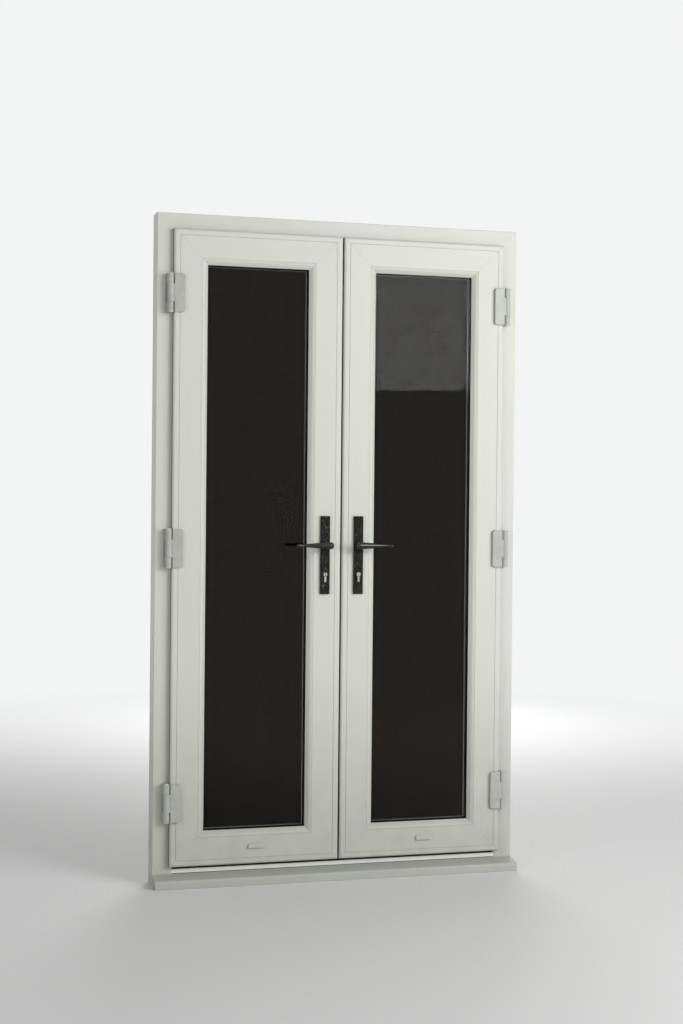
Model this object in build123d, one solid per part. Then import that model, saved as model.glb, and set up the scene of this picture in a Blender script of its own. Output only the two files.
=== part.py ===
from build123d import *
import os

# Whole set, in millimetres. X runs along the wall, the outside is at -Y, Z is up.
# The origin is on the underside of the sill, in the middle of the opening.
set_width = 1190.0
set_height = 2090.0
frame_face = 50.0
meeting_gap = 5.0
leaf_bottom = 60.0
leaf_proud = 22.0

# Leaf section, measured inward from the leaf edge and back from the leaf front
leaf_depth = 62.0
lip_width = 23.5
lip_thickness = 20.0
platform = 93.0
leg_reach = 15.0
leg_back = 14.0
edge_radius = 7.0
edge_band = 18.0
lip_back_radius = 0.8
body_radius = 2.0
platform_radius = 1.0
moulding_start = 88.0
quirk_width = 2.4
quirk_depth = 1.6
crown_step = 0.4
crown_width = 7.5
crown_drop = 3.0
crown_radius = 12.0
shoulder_radius = 1.5
sight_step = 1.5
sight_drop = 1.0
sight_radius = 0.5
chamber_start = 38.0
chamber_end = 84.0
chamber_front = 9.0
chamber_back = 55.0

# Small chambers round the steel's, each given by its distance from a face or from the steel
leaf_wall = 3.0
leaf_web = 2.5
lip_wall = 4.5
edge_chamber_start = 28.5
edge_chamber_back = 33.0
glass_chamber_width = 4.0
glass_chamber_front = 17.0
glass_chamber_back = 58.0
moulding_chamber_front = 4.0
moulding_chamber_width = 9.5

# Steel channel inside the leaf
steel_wall = 2.0
steel_flange = 40.0
steel_corner_gap = 112.0

# Sealed glass unit
glass_thickness = 4.0
glass_cavity = 20.0
glazing_seal = 1.0
unit_clearance = 4.0
spacer_setback = 3.0
spacer_height = 12.0
seal_tuck = 1.0
seal_show = 1.5
bead_top = 4.0
bead_edge = 3.0
bead_radius = 3.0
bead_gap = 0.6

# Frame, threshold and sill
frame_depth = 70.0
running_gap = 12.0
stop_reach = 22.0
stop_seal = 4.0
frame_wall = 4.0
frame_edge_radius = 2.0
rebate_edge_radius = 1.5
stop_back_radius = 4.0
sill_nose = 60.0
sill_nose_height = 26.0
sill_back_height = 36.0
sill_wall = 6.0
sill_thin_wall = 4.5
sill_nose_radius = 8.0
sill_edge_radius = 2.0
drip_lip = 8.0
drip_slope = 4.0
drip_depth = 7.0
drip_back = 30.0
sill_cap = 3.0
cap_plug_length = 8.0
threshold_wall = 5.0
threshold_joint = 2.0
threshold_joint_depth = 3.0
threshold_strip = 13.0
threshold_strip_radius = 3.0
threshold_line_height = 6.0
threshold_line_width = 1.6
threshold_line_depth = 0.8
channel_height = 10.0
channel_depth = 10.5
fixing_hole_radius = 4.0
fixing_from_sill = 210.0
fixing_from_top = 200.0
fixing_count = 4

# Seals, and how far a cut runs past the face it opens
free_gap = 0.3
cut_over = 1.0
seal_inset = 4.0
seal_width = 6.0
seal_radius = 0.8
stop_seal_inset = 2.0
stop_seal_radius = 1.5
meeting_seal_width = 6.0
meeting_seal_step = 1.0
meeting_seal_radius = 1.5
meeting_seal_gap = 1.1

# Meeting cover, a C section on the meeting edge of each leaf
cover_setback = 2.5
cover_wall = 3.0
cover_radius = 2.0
cover_back_step = 2.0
cover_end_gap = 4.0

# Hinges
hinge_height = 120.0
hinge_end_distance = 200.0
hinge_offset = 11.0
hinge_axis_depth = -1.0
barrel_radius = 10.0
pin_radius = 4.0
pin_head_radius = 7.0
pin_head = 2.0
pin_head_round = 1.0
bush_wall = 2.0
running_clearance = 0.05
seat_clearance = 0.02
flag_width = 34.0
flag_thickness = 10.0
flag_corner = 9.0
flag_edge = 2.0
web_inset = 2.0
web_reach = 8.5
middle_knuckle = 56.0
knuckle_gap = 0.5
bracket_width = 23.0
bracket_thickness = 5.0
bracket_gap = 2.0
bracket_corner = 3.0

# Handles and lock
handle_inset = 52.5
lever_height = 1000.0
lock_centres = 92.0
plate_width = 31.0
plate_length = 248.0
plate_thickness = 9.0
plate_above_lever = 93.0
plate_edge = 1.2
lever_stand_off = 48.0
lever_butt = 17.0
lever_reach = 105.0
lever_butt_radius = 11.5
lever_waist_radius = 3.9
lever_bulb_radius = 7.5
lever_bulb_length = 22.0
lever_bow = 0.8
lever_shoulder = 9.0
lever_cheek = 2.6
lever_cheek_share = 0.7
neck_radius = 9.0
neck_start = 0.5
neck_collar_radius = 11.5
neck_collar = 5.0
neck_collar_gap = 0.4
neck_collar_round = 1.5
spindle_side = 8.0
spindle_play = 0.1
spindle_socket = 18.0
spindle_hole_radius = 7.0
case_hole_radius = 6.0
cylinder_radius = 8.5
cylinder_web = 10.0
cylinder_height = 33.0
cylinder_proud = 2.0
cylinder_clearance = 0.5
plug_radius = 6.5
plug_clearance = 0.06
cam_radius = 15.0
cam_width = 7.0
cam_thickness = 8.0
cam_side_gap = 1.0
cam_end_gap = 0.5
key_slot_width = 2.4
key_slot_height = 8.0
key_slot_depth = 12.0

# Bolts in the meeting edge
bolt_depth = 43.0
bolt_width = 11.0
bolt_thickness = 7.0
bolt_slide_gap = 0.3
faceplate_thickness = 2.5
faceplate_width = 20.0
bolt_tip_setback = 0.5
bolt_start = 25.0
bolt_tip_radius = 3.0
case_depth = 14.0
case_reach = 22.0
case_above = 60.0
case_below = 130.0
case_corner = 3.0
keep_length = 50.0
keep_width = 18.0
keep_thickness = 2.0
keep_corner = 3.0
keep_play = 1.0
keep_pocket_play = 2.0
keep_pocket_depth = 16.0

# Rain caps over the drain slots
drain_width = 52.0
drain_height = 14.0
drain_proud = 7.0
drain_wall = 2.0
drain_roof = 4.5
drain_corner = 5.0
drain_brow = 2.5
drain_above_edge = 57.0
drain_slot_width = 30.0
drain_slot_height = 5.0
drain_from_meeting = {"left": 267.5, "right": 281.5}

# Sizes that follow from the ones above
leaf_width = (set_width - 2 * frame_face - meeting_gap) / 2
leaf_height = set_height - frame_face - leaf_bottom
leaf_top = leaf_bottom + leaf_height
leaf_middle = leaf_bottom + leaf_height / 2
hinge_edge = -set_width / 2 + frame_face
meeting_edge = -meeting_gap / 2
leaf_centre = (hinge_edge + meeting_edge) / 2
sight_line = platform + leg_reach
rebate = frame_face + lip_width - running_gap
frame_inner = rebate + stop_reach
frame_front = leaf_proud
frame_back = frame_front + frame_depth
stop_front = leaf_depth + stop_seal
ring_bottom = leaf_bottom - frame_face
outer_pane_front = leg_back + glazing_seal
cavity_front = outer_pane_front + glass_thickness
cavity_back = cavity_front + glass_cavity
inner_pane_back = cavity_back + glass_thickness
bead_front = inner_pane_back + glazing_seal
unit_edge = platform + unit_clearance
lever_z = leaf_bottom + lever_height
cylinder_z = lever_z - lock_centres
handle_x = meeting_edge - handle_inset
hinge_x = hinge_edge - hinge_offset
body_edge = meeting_edge - lip_width
slot_front = body_edge - faceplate_thickness
bolt_x = slot_front - bolt_slide_gap - bolt_thickness / 2
slot_back = slot_front - bolt_thickness - 2 * bolt_slide_gap
body_bottom = leaf_bottom + lip_width
body_top = leaf_top - lip_width
rebate_top = set_height - rebate
rebate_floor = ring_bottom + rebate
stop_top = ring_bottom + frame_inner
fixing_spacing = (set_height - fixing_from_sill - fixing_from_top) / (fixing_count - 1)
strip_low = sill_back_height + threshold_joint
strip_high = strip_low + threshold_strip
hinge_heights = [leaf_bottom + hinge_end_distance, leaf_middle, leaf_top - hinge_end_distance]


def block(x0, x1, y0, y1, z0, z1):
    """A box between two corners."""
    centre = Location(((x0 + x1) / 2, (y0 + y1) / 2, (z0 + z1) / 2))
    return centre * Box(abs(x1 - x0), abs(y1 - y0), abs(z1 - z0))


def rod(x, y, z, radius, length, axis):
    """A round bar centred on a point, along X, Y or Z."""
    turn = {"X": Rot(0, 90, 0), "Y": Rot(90, 0, 0), "Z": Rot(0, 0, 0)}[axis]
    return Location((x, y, z)) * turn * Cylinder(radius, length)


def section(corners, radii):
    """A closed section from (inward, back) corners, each with its rounding radius."""
    points = [(back, inward) for inward, back in corners]
    return Plane.YZ * make_face(FilletPolyline(*points, radius=radii, close=True))


def plain_section(inward0, inward1, back0, back1):
    """A rectangular section with sharp corners."""
    corners = [(inward0, back0), (inward1, back0), (inward1, back1), (inward0, back1)]
    return section(corners, [0, 0, 0, 0])


def mitred_rail(face, length):
    """A length of section along X with its outer edge on Z = 0, mitred at both ends."""
    rail = extrude(Pos(-length / 2, 0, 0) * face, length, dir=(1, 0, 0))
    rail = split(rail, Plane(origin=(-length / 2, 0, 0), z_dir=(1, 0, -1)), keep=Keep.TOP)
    return split(rail, Plane(origin=(length / 2, 0, 0), z_dir=(-1, 0, -1)), keep=Keep.TOP)


def four_rails(face, width, height, centre_z, end_gap=0.0):
    """Bottom, top, left and right rails of a rectangular ring."""
    flat = mitred_rail(face, width - end_gap)
    tall = mitred_rail(face, height - end_gap)
    bottom = Pos(0, 0, centre_z - height / 2) * flat
    top = Pos(0, 0, centre_z + height / 2) * Rot(0, 180, 0) * flat
    left = Pos(-width / 2, 0, centre_z) * Rot(0, 90, 0) * tall
    right = Pos(width / 2, 0, centre_z) * Rot(0, -90, 0) * tall
    return [bottom, top, left, right]


def welded_ring(face, width, height, centre_z):
    """The four rails welded into one ring."""
    rails = four_rails(face, width, height, centre_z)
    return rails[0] + rails[1] + rails[2] + rails[3]


def leaf_ring(face):
    """A ring that follows the edge of the left leaf."""
    return Pos(leaf_centre, 0, 0) * welded_ring(face, leaf_width, leaf_height, leaf_middle)


def frame_ring(face):
    """A ring that follows the outer edge of the frame, closed below the leaves."""
    height = set_height - ring_bottom
    return welded_ring(face, set_width, height, ring_bottom + height / 2)


def group(pieces):
    """Separate solids kept together as one node."""
    return Compound(children=[solid for piece in pieces for solid in piece.solids()])


def frame_section():
    corners = [
        (0, frame_front), (rebate, frame_front), (rebate, stop_front),
        (frame_inner, stop_front), (frame_inner, frame_back), (0, frame_back),
    ]
    edge = frame_edge_radius
    return section(corners, [edge, rebate_edge_radius, 0, edge, stop_back_radius, 0])


def threshold_bar():
    """The shallow bottom member, as a length of section right across the frame."""
    upper = frame_ring(frame_section())
    return upper & block(
        -set_width / 2, set_width / 2, frame_front, frame_back, sill_back_height, stop_top
    )


def jamb_solid(side):
    """A jamb without its hollow, used to cope the threshold round it."""
    rail = extrude(frame_section(), set_height, dir=(1, 0, 0))
    upright = Pos(-set_width / 2, 0, set_height) * Rot(0, 90, 0) * rail
    return upright if side < 0 else mirror(upright, Plane.YZ)


def keep_places():
    """Where the bolts of both leaves meet the head and the threshold."""
    return [bolt_x, -bolt_x]


def keep_pocket(x, z0, z1):
    half_x = bolt_thickness / 2 + keep_pocket_play
    half_y = bolt_width / 2 + keep_pocket_play
    return block(x - half_x, x + half_x, bolt_depth - half_y, bolt_depth + half_y, z0, z1)


def frame_chambers():
    """Main chamber in front, and behind it one at the wall and one in the stop."""
    wall = frame_wall
    main = plain_section(wall, rebate - wall, frame_front + wall, stop_front - wall)
    rear = plain_section(wall, rebate - wall, stop_front, frame_back - wall)
    stop = plain_section(rebate, frame_inner - wall, stop_front + wall, frame_back - wall)
    return main + rear + stop


def build_outer_frame():
    """Head and two jambs, welded at the top corners and square where they meet the sill."""
    tall = set_height + frame_inner
    middle = set_height - tall / 2
    frame = welded_ring(frame_section(), set_width, tall, middle)
    frame -= welded_ring(frame_chambers(), set_width, tall, middle)
    frame = split(frame, Plane(origin=(0, 0, sill_back_height), z_dir=(0, 0, 1)), keep=Keep.TOP)
    for x in keep_places():
        frame -= keep_pocket(x, rebate_top, rebate_top + keep_pocket_depth)
    for i in range(fixing_count):
        z = fixing_from_sill + i * fixing_spacing
        y = (frame_front + stop_front) / 2
        frame -= rod(0, y, z, fixing_hole_radius, set_width + 2 * cut_over, "X")
    return frame


def front_cut(depth, low, high):
    """A cut along the front of the threshold, open to the outside."""
    return block(
        -set_width / 2, set_width / 2, frame_front - cut_over, frame_front + depth, low, high
    )


def build_threshold():
    """Shallow bottom member, coped to the jambs, with two hollows and two bolt pockets.

    A drainage channel runs along its front, under the leaves. The strip below the channel
    has a rounded top and a fine line, and stands on the sill over a narrow joint.
    """
    bar = threshold_bar() - jamb_solid(-1) - jamb_solid(1)
    bar -= front_cut(threshold_joint_depth, sill_back_height, strip_low)
    bar -= front_cut(channel_depth, strip_high, strip_high + channel_height)
    edges = bar.edges().filter_by(Axis.X)
    bar = fillet(edges.sort_by_distance((0, frame_front, strip_high))[0], threshold_strip_radius)
    line = strip_low + threshold_line_height
    bar -= front_cut(threshold_line_depth, line, line + threshold_line_width)
    low = sill_back_height + threshold_wall
    front_hollow = block(
        -set_width / 2, set_width / 2, frame_front + channel_depth + threshold_wall,
        stop_front - threshold_wall, low, rebate_floor - threshold_wall,
    )
    back_hollow = block(
        -set_width / 2, set_width / 2, stop_front + threshold_wall,
        frame_back - threshold_wall, low, stop_top - threshold_wall,
    )
    bar = bar - front_hollow - back_hollow
    for x in keep_places():
        bar -= keep_pocket(x, rebate_floor - keep_pocket_depth, rebate_floor)
    return bar


def sill_face():
    """Flat under the frame, falling to a rounded nose with a drip recess under it."""
    nose = frame_front - sill_nose
    recess_front = nose + drip_lip
    recess_back = frame_front - drip_back
    round_edge = sill_edge_radius
    corners = [
        ((frame_back, 0), 0), ((frame_back, sill_back_height), 0),
        ((frame_front, sill_back_height), round_edge),
        ((nose, sill_nose_height), sill_nose_radius), ((nose, 0), round_edge),
        ((recess_front, 0), 0), ((recess_front + drip_slope, drip_depth), round_edge),
        ((recess_back - drip_slope, drip_depth), round_edge), ((recess_back, 0), 0),
    ]
    points = [point for point, radius in corners]
    radii = [radius for point, radius in corners]
    return Plane.YZ * make_face(FilletPolyline(*points, radius=radii, close=True))


def sill_hollows(play):
    """The two chambers of the sill as (back0, back1, low, high), less a play on every side."""
    rear = (
        frame_front + sill_wall, frame_back - sill_wall, sill_wall, sill_back_height - sill_wall
    )
    front = (
        frame_front - sill_nose + 2 * sill_wall, frame_front - sill_wall,
        drip_depth + sill_thin_wall, sill_nose_height - sill_thin_wall,
    )
    return [
        (back0 + play, back1 - play, low + play, high - play)
        for back0, back1, low, high in (rear, front)
    ]


def build_sill():
    length = set_width - 2 * sill_cap
    sill = extrude(Pos(-length / 2, 0, 0) * sill_face(), length, dir=(1, 0, 0))
    for y0, y1, z0, z1 in sill_hollows(0):
        sill -= block(-length / 2, length / 2, y0, y1, z0, z1)
    return sill


def build_sill_cap():
    """Left end cap: a plate of the sill's outline with a plug for each chamber."""
    outer = -set_width / 2
    cap = extrude(Pos(outer, 0, 0) * sill_face(), sill_cap, dir=(1, 0, 0))
    for y0, y1, z0, z1 in sill_hollows(free_gap):
        cap += block(outer + sill_cap, outer + sill_cap + cap_plug_length, y0, y1, z0, z1)
    return cap


def build_frame_gasket():
    """Seal on the inner stop that the leaf bodies close against."""
    first = frame_face + lip_width + stop_seal_inset
    face = section(
        [
            (first, leaf_depth + free_gap), (first + seal_width, leaf_depth + free_gap),
            (first + seal_width, stop_front), (first, stop_front),
        ],
        [stop_seal_radius, stop_seal_radius, 0, 0],
    )
    return frame_ring(face)


def build_keep(x, z):
    """Flat plate with a slot that a bolt enters."""
    plate = block(
        x - keep_length / 2, x + keep_length / 2,
        bolt_depth - keep_width / 2, bolt_depth + keep_width / 2, z, z + keep_thickness,
    )
    plate = fillet(plate.edges().filter_by(Axis.Z), keep_corner)
    half_x = bolt_thickness / 2 + keep_play
    half_y = bolt_width / 2 + keep_play
    return plate - block(
        x - half_x, x + half_x, bolt_depth - half_y, bolt_depth + half_y,
        z - cut_over, z + keep_thickness + cut_over,
    )


def build_bracket(z):
    """Frame half of a hinge: plate on the frame face, two webs and two knuckles."""
    right = hinge_edge - bracket_gap
    left = right - bracket_width
    low = z - hinge_height / 2
    high = z + hinge_height / 2
    plate = block(left, right, frame_front - bracket_thickness, frame_front, low, high)
    bracket = fillet(plate.edges().filter_by(Axis.Y), bracket_corner)
    knuckle = (hinge_height - middle_knuckle) / 2 - knuckle_gap
    for z0 in (low, high - knuckle):
        bracket += rod(hinge_x, hinge_axis_depth, z0 + knuckle / 2, barrel_radius, knuckle, "Z")
        bracket += block(
            hinge_x - barrel_radius, right, hinge_axis_depth + barrel_radius / 2,
            frame_front - bracket_thickness / 2, z0, z0 + knuckle,
        )
    return bracket - rod(
        hinge_x, hinge_axis_depth, z, pin_radius + seat_clearance,
        hinge_height + 2 * cut_over, "Z",
    )


def build_pin(z):
    """Hinge pin with a flat cap at each end."""
    pin = rod(hinge_x, hinge_axis_depth, z, pin_radius, hinge_height, "Z")
    for end in (-1, 1):
        cap_z = z + end * (hinge_height + pin_head) / 2
        cap = rod(hinge_x, hinge_axis_depth, cap_z, pin_head_radius, pin_head, "Z")
        outer = cap.edges().filter_by(GeomType.CIRCLE).sort_by(Axis.Z)[-1 if end > 0 else 0]
        pin += fillet(outer, pin_head_round)
    return pin


def build_flag(z):
    """Leaf half of a hinge: rounded plate on the leaf face, web and middle knuckle."""
    right = hinge_edge + flag_width
    low = z - hinge_height / 2
    high = z + hinge_height / 2
    plate = block(hinge_edge, right, -flag_thickness, 0, low, high)
    corners = plate.edges().filter_by(Axis.Y).group_by(Axis.X)[-1]
    plate = fillet(corners, flag_corner)
    front = plate.faces().sort_by(Axis.Y)[0]
    plate = fillet(front.edges(), flag_edge)
    half = middle_knuckle / 2
    flag = plate + rod(hinge_x, hinge_axis_depth, z, barrel_radius, middle_knuckle, "Z")
    flag += block(
        hinge_x, hinge_edge + web_reach, hinge_axis_depth - barrel_radius + web_inset,
        hinge_axis_depth, z - half, z + half,
    )
    bore = pin_radius + running_clearance + bush_wall + seat_clearance
    return flag - rod(hinge_x, hinge_axis_depth, z, bore, middle_knuckle + 2 * cut_over, "Z")


def build_bush(z):
    """Plain sleeve between the pin and the flag's knuckle."""
    bore = pin_radius + running_clearance
    sleeve = rod(hinge_x, hinge_axis_depth, z, bore + bush_wall, middle_knuckle, "Z")
    return sleeve - rod(hinge_x, hinge_axis_depth, z, bore, middle_knuckle + 2 * cut_over, "Z")


def leaf_section():
    """Lip with rounded edge, flat face, quirk lines and a sloped moulding at the glass."""
    half = quirk_width / 2
    slope_start = moulding_start + quirk_width
    corners = [
        ((0, lip_thickness), lip_back_radius), ((0, 0), edge_radius),
        ((edge_band, 0), 0), ((edge_band + half, quirk_depth), 0), ((edge_band + quirk_width, 0), 0),
        ((moulding_start, 0), 0), ((moulding_start + half, quirk_depth), 0),
        ((slope_start, crown_step), shoulder_radius),
        ((slope_start + crown_width, crown_drop), crown_radius),
        ((sight_line - sight_step, leg_back - sight_step - sight_drop), sight_radius),
        ((sight_line, leg_back - sight_step), sight_radius),
        ((sight_line, leg_back), 0), ((platform, leg_back), 0),
        ((platform, leaf_depth), platform_radius), ((lip_width, leaf_depth), body_radius),
        ((lip_width, lip_thickness), 0),
    ]
    return section([point for point, radius in corners], [radius for point, radius in corners])


def leaf_chambers():
    """The steel's chamber, and small ones in the lip, the edge, the face and the glass side."""
    glass_start = chamber_end + leaf_web
    moulding_end = glass_start + moulding_chamber_width
    return (
        plain_section(chamber_start, chamber_end, chamber_front, chamber_back)
        + plain_section(lip_wall, edge_band, lip_wall, lip_thickness - leaf_wall)
        + plain_section(
            edge_chamber_start, chamber_start - leaf_web, 2 * leaf_wall, edge_chamber_back
        )
        + plain_section(chamber_start, chamber_end, leaf_wall, chamber_front - leaf_web)
        + plain_section(
            glass_start, moulding_end, moulding_chamber_front, leg_back - leaf_web
        )
        + plain_section(
            glass_start, glass_start + glass_chamber_width, glass_chamber_front,
            glass_chamber_back,
        )
    )


def cylinder_outline(grow):
    """Profile-cylinder outline, round above with a web below, grown by a clearance."""
    web_low = cylinder_height - cylinder_radius - cylinder_web / 2
    outline = Circle(cylinder_radius + grow)
    outline += Pos(0, -web_low / 2) * Rectangle(cylinder_web + 2 * grow, web_low)
    outline += Pos(0, -web_low) * Circle(cylinder_web / 2 + grow)
    return outline


def cylinder_bar(grow, y0, y1):
    """A bar of the cylinder's outline from one depth to another."""
    start = Plane(origin=(handle_x, y0, cylinder_z), x_dir=(1, 0, 0), z_dir=(0, -1, 0))
    return extrude(start * cylinder_outline(grow), y1 - y0, dir=(0, 1, 0))


def lock_cuts():
    """Everything that is cut through the meeting stile for the lock and its bolts."""
    groove = block(
        slot_front, body_edge, bolt_depth - faceplate_width / 2,
        bolt_depth + faceplate_width / 2, body_bottom, body_top,
    )
    half_slot = bolt_width / 2 + bolt_slide_gap
    slot = block(
        slot_back, slot_front, bolt_depth - half_slot, bolt_depth + half_slot,
        body_bottom, body_top,
    )
    half_case = case_depth / 2 + free_gap
    pocket = block(
        meeting_edge - chamber_start - cut_over, slot_back,
        bolt_depth - half_case, bolt_depth + half_case,
        lever_z - case_below - free_gap, lever_z + case_above + free_gap,
    )
    spindle_hole = rod(
        handle_x, leaf_depth / 2, lever_z, spindle_hole_radius, leaf_depth + 2 * cut_over, "Y"
    )
    cylinder_hole = cylinder_bar(cylinder_clearance, -cut_over, leaf_depth + cut_over)
    return [groove, slot, pocket, spindle_hole, cylinder_hole]


def build_sash(side):
    """Welded leaf frame with its chambers, lock cut-outs and drain slot."""
    sash = leaf_ring(leaf_section())
    sash -= leaf_ring(leaf_chambers())
    for cut in lock_cuts():
        sash -= cut
    x = meeting_edge - drain_from_meeting[side]
    z = leaf_bottom + drain_above_edge
    return sash - block(
        x - drain_slot_width / 2, x + drain_slot_width / 2, -cut_over, chamber_front + cut_over,
        z - drain_slot_height / 2, z + drain_slot_height / 2,
    )


def build_reinforcement():
    """Four steel channels in the leaf's chamber, cut short of the welded corners."""
    start = chamber_end - steel_flange
    face = plain_section(start, chamber_end, chamber_front, chamber_back)
    inner = plain_section(
        start, chamber_end - steel_wall, chamber_front + steel_wall, chamber_back - steel_wall
    )
    channel = leaf_ring(face) - leaf_ring(inner)
    for x0, x1 in ((hinge_edge, hinge_edge + steel_corner_gap),
                   (meeting_edge - steel_corner_gap, meeting_edge)):
        for z0, z1 in ((leaf_bottom, leaf_bottom + steel_corner_gap),
                       (leaf_top - steel_corner_gap, leaf_top)):
            channel -= block(x0, x1, 0, leaf_depth, z0, z1)
    channel -= rod(handle_x, leaf_depth / 2, lever_z, spindle_hole_radius, leaf_depth, "Y")
    return channel - cylinder_bar(cylinder_clearance, 0, leaf_depth)


def leaf_panel(inset, y0, y1):
    """A flat panel set in from the leaf's edge."""
    return block(
        hinge_edge + inset, meeting_edge - inset, y0, y1, leaf_bottom + inset, leaf_top - inset
    )


def build_spacer():
    face = plain_section(
        unit_edge + spacer_setback, unit_edge + spacer_setback + spacer_height,
        cavity_front, cavity_back,
    )
    return leaf_ring(face)


def build_glazing_gaskets():
    """Outer and inner glazing seals, pressed between the glass and the leaf or beads."""
    start = unit_edge + seal_tuck
    outer = plain_section(start, sight_line + seal_show, leg_back, outer_pane_front)
    inner = plain_section(start, sight_line + seal_show, inner_pane_back, bead_front)
    return group([leaf_ring(outer), leaf_ring(inner)])


def build_beads():
    """Four mitred beads that hold the glass from inside."""
    corners = [
        (platform, bead_front), (sight_line, bead_front), (sight_line, bead_front + bead_edge),
        (platform + bead_top, leaf_depth), (platform, leaf_depth),
    ]
    face = section(corners, [0, 0, platform_radius, bead_radius, 0])
    rails = four_rails(face, leaf_width, leaf_height, leaf_middle, bead_gap)
    return group([Pos(leaf_centre, 0, 0) * rail for rail in rails])


def build_leaf_gasket():
    """Seal on the back of the lip, on the three sides that close on the frame."""
    face = section(
        [
            (seal_inset, lip_thickness), (seal_inset + seal_width, lip_thickness),
            (seal_inset + seal_width, frame_front - free_gap), (seal_inset, frame_front - free_gap),
        ],
        [0, 0, seal_radius, seal_radius],
    )
    ring = leaf_ring(face)
    return ring - block(
        body_edge - cut_over, meeting_edge, 0, leaf_depth, leaf_bottom, leaf_top
    )


def cover_span():
    """Lowest and highest point of the meeting cover, clear of the frame's rebates."""
    return rebate_floor + cover_end_gap + keep_thickness, rebate_top - cover_end_gap - keep_thickness


def build_meeting_cover():
    """C section screwed to the meeting edge, hiding the lock's faceplate."""
    low, high = cover_span()
    face_x = meeting_edge - cover_setback
    back = leaf_depth - cover_back_step
    outer = block(body_edge, face_x, lip_thickness, back, low, high)
    inner = block(
        body_edge, face_x - cover_wall, lip_thickness + cover_wall, back - cover_wall, low, high
    )
    cover = outer - inner
    edge = cover.edges().filter_by(Axis.Z).sort_by_distance((face_x, back, leaf_middle))[0]
    return fillet(edge, cover_radius)


def build_meeting_seal():
    """Soft bulb in front of the cover; it stops just short of the other leaf's seal."""
    low, high = cover_span()
    face_x = meeting_edge - cover_setback
    front = lip_thickness + meeting_seal_step
    seal = block(face_x, -meeting_seal_gap, front, front + meeting_seal_width, low, high)
    tips = seal.edges().filter_by(Axis.Z).group_by(Axis.X)[-1]
    return fillet(tips, meeting_seal_radius)


def build_faceplate():
    """Long steel strip let into the meeting edge over the bolts."""
    return block(
        slot_front, body_edge, bolt_depth - faceplate_width / 2 + free_gap,
        bolt_depth + faceplate_width / 2 - free_gap, body_bottom + free_gap, body_top - free_gap,
    )


def build_lock_case():
    """Flat lock case behind the bolts, with holes for the spindle and the cylinder."""
    case = block(
        handle_x - case_reach, slot_back - free_gap, bolt_depth - case_depth / 2,
        bolt_depth + case_depth / 2, lever_z - case_below, lever_z + case_above,
    )
    case = fillet(case.edges().filter_by(Axis.Y), case_corner)
    hole_length = case_depth + 2 * cut_over
    case -= rod(handle_x, bolt_depth, lever_z, case_hole_radius, hole_length, "Y")
    case -= cylinder_bar(free_gap, 0, leaf_depth)
    room = cam_radius + 2 * cam_end_gap
    return case - rod(
        handle_x, bolt_depth, cylinder_z, room, cam_thickness + 3 * cam_side_gap, "Y"
    )


def build_cylinder():
    """Profile cylinder through the leaf, with its plug bore and the notch for the cam."""
    front = -plate_thickness - cylinder_proud
    back = leaf_depth + plate_thickness + cylinder_proud
    body = cylinder_bar(0, front, back)
    middle = (front + back) / 2
    bore_length = back - front + 2 * cut_over
    body -= rod(handle_x, middle, cylinder_z, plug_radius + plug_clearance, bore_length, "Y")
    return body - rod(
        handle_x, bolt_depth, cylinder_z, cam_radius + cam_end_gap,
        cam_thickness + 2 * cam_side_gap, "Y",
    )


def build_key_plug():
    """Turning plug with a key slot at each end and the cam that works the bolts."""
    front = -plate_thickness - cylinder_proud
    back = leaf_depth + plate_thickness + cylinder_proud
    plug = rod(handle_x, (front + back) / 2, cylinder_z, plug_radius, back - front, "Y")
    tooth = block(
        handle_x - cam_width / 2, handle_x + cam_width / 2, bolt_depth - cam_thickness / 2,
        bolt_depth + cam_thickness / 2, cylinder_z - cam_radius, cylinder_z,
    )
    round_end = rod(handle_x, bolt_depth, cylinder_z, cam_radius, cam_thickness, "Y")
    plug += tooth & round_end
    for y0, y1 in ((front, front + key_slot_depth), (back - key_slot_depth, back)):
        plug -= block(
            handle_x - key_slot_width / 2, handle_x + key_slot_width / 2, y0, y1,
            cylinder_z - key_slot_height / 2, cylinder_z + key_slot_height / 2,
        )
    return plug


def build_backplate(y_seat, outward):
    """Long plain plate that carries a lever and surrounds the cylinder."""
    y_face = y_seat + outward * plate_thickness
    top = lever_z + plate_above_lever
    plate = block(
        handle_x - plate_width / 2, handle_x + plate_width / 2,
        min(y_seat, y_face), max(y_seat, y_face), top - plate_length, top,
    )
    face = plate.faces().sort_by(Axis.Y)[0 if outward < 0 else -1]
    plate = chamfer(face.edges(), plate_edge)
    bore = neck_radius + running_clearance
    plate -= rod(handle_x, y_seat, lever_z, bore, 2 * (plate_thickness + cut_over), "Y")
    low, high = min(y_seat, y_face) - cut_over, max(y_seat, y_face) + cut_over
    return plate - cylinder_bar(free_gap, low, high)


def lever_outline():
    """Half outline of the forged grip: domed butt, long bowed taper, waist and bulb."""
    butt = (lever_butt, 0)
    shoulder = (lever_butt - lever_shoulder, lever_butt_radius)
    cheek = (lever_butt - lever_cheek, lever_butt_radius * lever_cheek_share)
    waist = (-lever_reach + lever_bulb_length, lever_waist_radius)
    belly = ((shoulder[0] + waist[0]) / 2, (shoulder[1] + waist[1]) / 2 + lever_bow)
    crown = (-lever_reach + lever_bulb_radius, lever_bulb_radius)
    throat = ((waist[0] + crown[0]) / 2, (waist[1] + crown[1]) / 2 - lever_bow)
    round_end = lever_bulb_radius * (1 - 0.5 ** 0.5)
    tip = (-lever_reach, 0)
    edges = [
        ThreePointArc(butt, cheek, shoulder), ThreePointArc(shoulder, belly, waist),
        ThreePointArc(waist, throat, crown),
        ThreePointArc(crown, (-lever_reach + round_end, lever_bulb_radius - round_end), tip),
        Line(tip, butt),
    ]
    return make_face(edges)


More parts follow.
